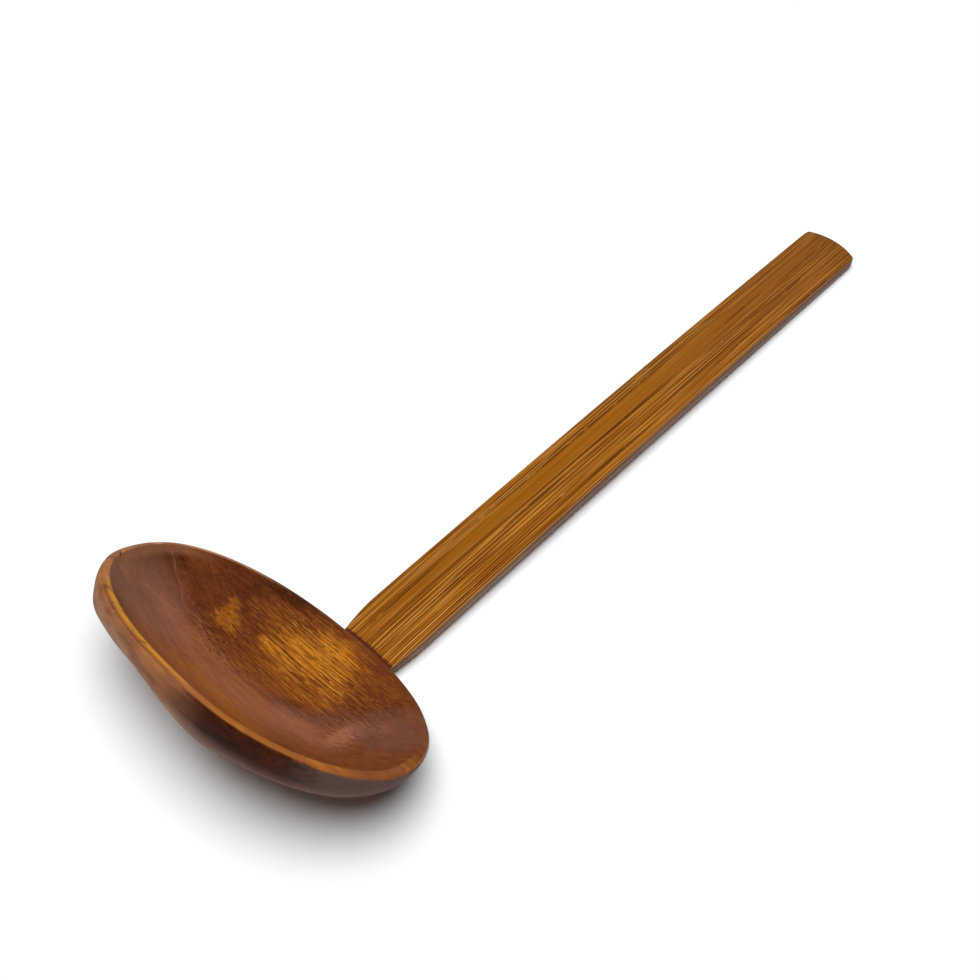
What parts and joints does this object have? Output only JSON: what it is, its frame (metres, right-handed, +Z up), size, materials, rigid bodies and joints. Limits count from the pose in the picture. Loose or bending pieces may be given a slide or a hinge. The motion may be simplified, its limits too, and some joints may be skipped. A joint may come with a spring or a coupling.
{
  "type": "ramen spoon",
  "caption": "Wooden ramen spoon: an oval carved bowl with a long flat bamboo handle glued into its back wall at a slant.",
  "frame": {"origin": "middle of the flat under the bowl, on the table that the spoon lies on", "axes": "+Y along the handle toward its tip, +Z up from the table, +X to the right end of the bowl seen from its front"},
  "size_m": [0.0857, 0.2393, 0.0357],
  "materials": {
    "stained_hardwood": "satin clear coat over a reddish brown stain",
    "lacquered_bamboo": "satin clear coat over caramel brown bamboo",
    "cured_glue": "dark, slightly glossy"
  },
  "bodies": {
    "root": {"bowl": "stained_hardwood", "handle": "lacquered_bamboo", "glue_line": "cured_glue"}
  },
  "joints": []
}
